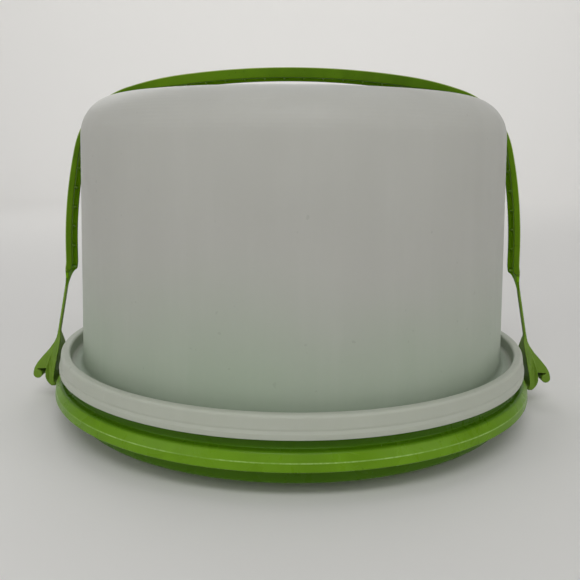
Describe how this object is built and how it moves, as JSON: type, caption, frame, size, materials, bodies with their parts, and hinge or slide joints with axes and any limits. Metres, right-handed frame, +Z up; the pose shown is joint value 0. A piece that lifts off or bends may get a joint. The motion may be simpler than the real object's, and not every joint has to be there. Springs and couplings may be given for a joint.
{
  "type": "cake carrier",
  "caption": "Round cake carrier: shallow base tray, tall press-on cover with a gutter rim, and an arched strap handle that clips under the tray.",
  "frame": {"origin": "centre of the foot ring on the ground", "axes": "+Z up, +X towards the right-hand clip, -Y towards the front"},
  "size_m": [0.3436, 0.3064, 0.219],
  "materials": {
    "green_plastic": "glossy moulded plastic, leaf green",
    "milky_plastic": "translucent milky white moulded plastic with a soft sheen"
  },
  "bodies": {
    "tray": {"base_tray": "green_plastic"},
    "lid": {"cover": "milky_plastic"},
    "handle": {"handle_grip": "green_plastic"},
    "left_hook": {"left_clip": "green_plastic"},
    "right_hook": {"right_clip": "green_plastic"}
  },
  "joints": [
    {"name": "cover_lift", "type": "slide", "parent": "tray", "child": "lid", "axis": [0, 0, 1], "range_m": [0, 0.07]},
    {"name": "handle_lift", "type": "slide", "parent": "tray", "child": "handle", "axis": [0, 0, 1], "range_m": [0, 0.21]},
    {"name": "left_clip_flex", "type": "hinge", "parent": "handle", "child": "left_hook", "pos_m": [-0.15197, 0.00278, 0.07396], "axis": [0, 0.9962, -0.0872], "range_deg": [0, 45]},
    {"name": "right_clip_flex", "type": "hinge", "parent": "handle", "child": "right_hook", "pos_m": [0.15197, 0.00278, 0.07396], "axis": [0, -0.9962, 0.0872], "range_deg": [0, 45]}
  ],
  "couplings": [
    {"joint": "handle_lift", "follows": "cover_lift", "ratio": 3},
    {"joint": "left_clip_flex", "follows": "cover_lift", "rad_per_m": 11.22},
    {"joint": "right_clip_flex", "follows": "cover_lift", "rad_per_m": 11.22}
  ]
}
